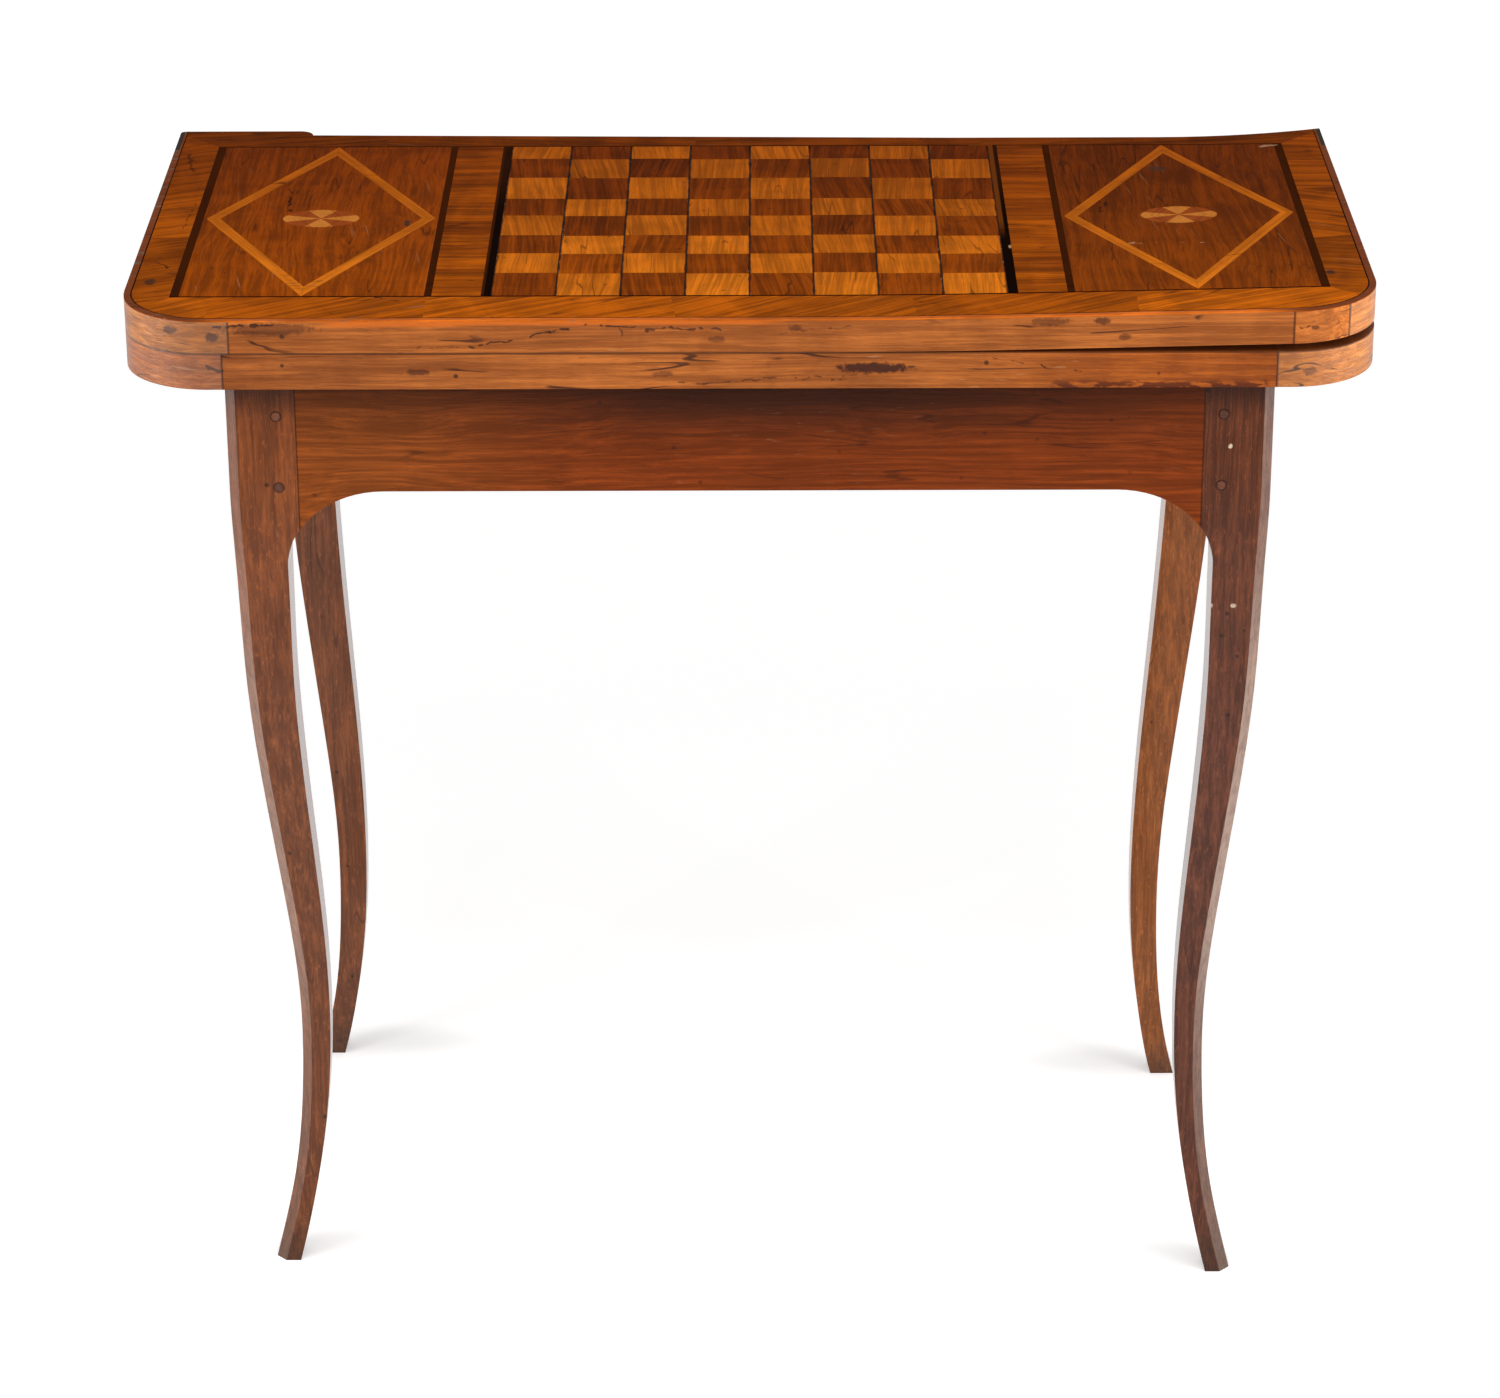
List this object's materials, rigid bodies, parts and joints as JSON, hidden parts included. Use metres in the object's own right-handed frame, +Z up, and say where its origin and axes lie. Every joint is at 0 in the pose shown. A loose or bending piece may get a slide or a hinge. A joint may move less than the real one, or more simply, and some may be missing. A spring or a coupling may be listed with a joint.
{
  "type": "games table",
  "caption": "Folding games table on curved legs: inlaid chessboard top that swivels and unfolds to a baize-lined card table over a shallow well.",
  "frame": {"origin": "centre of the table's bounding box, on the floor under the feet", "axes": "+X along the front to the right, +Y from the front to the hinged back edge, +Z up"},
  "size_m": [0.84, 0.422, 0.7551],
  "materials": {
    "leg_wood": "worn wax, reddish brown",
    "apron_wood": "worn wax, reddish brown",
    "peg_wood": "end grain, waxed",
    "well_wood": "bare, sawn and planed",
    "leaf_wood": "worn wax over scratches and knots",
    "edge_strip": "satin wax",
    "border_veneer": "satin wax, figure across the width",
    "line_veneer": "satin wax, nearly black",
    "panel_veneer": "satin wax",
    "strip_veneer": "satin wax",
    "dark_veneer": "satin wax with hairline cracks",
    "light_veneer": "satin wax with hairline cracks",
    "baize": "short-napped wool cloth",
    "strap_iron": "dark forged iron",
    "screw_iron": "darkened steel",
    "pivot_iron": "dark forged iron"
  },
  "bodies": {
    "frame": {"back_left_leg": "leg_wood", "back_right_leg": "leg_wood", "front_left_leg": "leg_wood", "front_right_leg": "leg_wood", "back_apron": "apron_wood", "front_apron": "apron_wood", "left_apron": "apron_wood", "right_apron": "apron_wood", "joint_pegs": "peg_wood", "well_bearers": "well_wood", "well_bottom": "well_wood", "pivot_rail": "well_wood"},
    "lower_leaf": {"lower_panel": "leaf_wood", "lower_left_cleat": "leaf_wood", "lower_right_cleat": "leaf_wood", "lower_baize": "baize", "lower_left_strap": "strap_iron", "lower_right_strap": "strap_iron", "lower_strap_screws": "screw_iron", "hinge_rivets": "screw_iron", "pivot_pin": "pivot_iron", "pivot_screws": "screw_iron", "pivot_washer": "pivot_iron", "pivot_nut": "pivot_iron"},
    "upper_leaf": {"upper_panel": "leaf_wood", "upper_left_cleat": "leaf_wood", "upper_right_cleat": "leaf_wood", "upper_right_patch": "leaf_wood", "upper_back_lipping": "leaf_wood", "upper_baize": "baize", "upper_left_strap": "strap_iron", "upper_right_strap": "strap_iron", "upper_strap_screws": "screw_iron", "edge_strip": "edge_strip", "edge_line": "line_veneer", "front_border": "border_veneer", "back_border": "border_veneer", "left_border": "border_veneer", "right_border": "border_veneer", "cross_lines": "line_veneer", "long_lines": "line_veneer", "left_inner_band": "panel_veneer", "right_inner_band": "panel_veneer", "dark_squares": "dark_veneer", "light_squares": "light_veneer", "left_panel_corners": "panel_veneer", "right_panel_corners": "panel_veneer", "left_lozenge_field": "panel_veneer", "right_lozenge_field": "panel_veneer", "left_lozenge_strips": "strip_veneer", "right_lozenge_strips": "strip_veneer", "light_petals": "strip_veneer", "dark_petals": "line_veneer"}
  },
  "joints": [
    {"name": "top_swivel", "type": "hinge", "parent": "frame", "child": "lower_leaf", "pos_m": [0.10275, 0.10275, 0.7006], "axis": [0, 0, 1], "range_deg": [0, 90]},
    {"name": "leaf_fold", "type": "hinge", "parent": "lower_leaf", "child": "upper_leaf", "pos_m": [0, 0.2055, 0.7256], "axis": [-1, 0, 0], "range_deg": [0, 180]}
  ]
}
